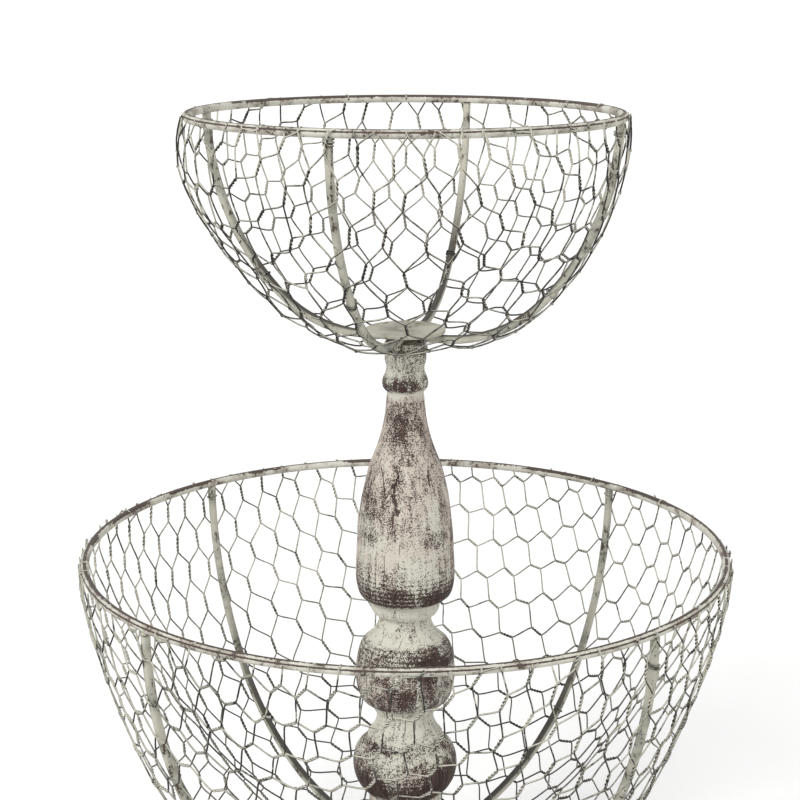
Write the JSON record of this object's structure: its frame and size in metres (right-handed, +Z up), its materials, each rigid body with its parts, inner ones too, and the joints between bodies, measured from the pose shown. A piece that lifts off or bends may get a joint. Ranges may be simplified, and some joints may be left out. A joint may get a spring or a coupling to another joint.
{
  "type": "tiered wire basket",
  "caption": "Tiered stand of round chicken-wire baskets on ribbed painted frames, carried by a whitewashed turned wooden spindle and foot.",
  "frame": {"origin": "centre of the underside of the wooden foot", "axes": "+Z up along the spindle, -Y towards the viewer of the picture, +X to the viewer's right"},
  "size_m": [0.4312, 0.4312, 0.5672],
  "materials": {
    "whitewashed_wood": "dry-brushed whitewash over dark brown turned wood, rubbed through on the widest parts",
    "cream_paint": "pale sage-cream paint, rubbed to brown along the rims",
    "netting_wire": "thin cream paint over dark weathered wire",
    "plate_paint": "dull warm grey paint",
    "zinc_steel": "zinc plated"
  },
  "bodies": {
    "stand": {"foot": "whitewashed_wood", "spindle": "whitewashed_wood", "tie_rod": "zinc_steel", "foot_washer": "zinc_steel", "foot_nut": "zinc_steel", "top_screw": "zinc_steel"},
    "lower_bowl": {"lower_rim": "cream_paint", "lower_rib_1": "cream_paint", "lower_rib_2": "cream_paint", "lower_rib_3": "cream_paint", "lower_rib_4": "cream_paint", "lower_disc": "plate_paint", "lower_net": "netting_wire"},
    "upper_bowl": {"upper_rim": "cream_paint", "upper_rib_1": "cream_paint", "upper_rib_2": "cream_paint", "upper_rib_3": "cream_paint", "upper_rib_4": "cream_paint", "upper_disc": "plate_paint", "upper_net": "netting_wire"}
  },
  "joints": [
    {"name": "lower_bowl_turn", "type": "hinge", "parent": "stand", "child": "lower_bowl", "pos_m": [0, 0, 0.055], "axis": [0, 0, 1], "continuous": true},
    {"name": "upper_bowl_turn", "type": "hinge", "parent": "stand", "child": "upper_bowl", "pos_m": [0, 0, 0.417], "axis": [0, 0, 1], "continuous": true}
  ]
}
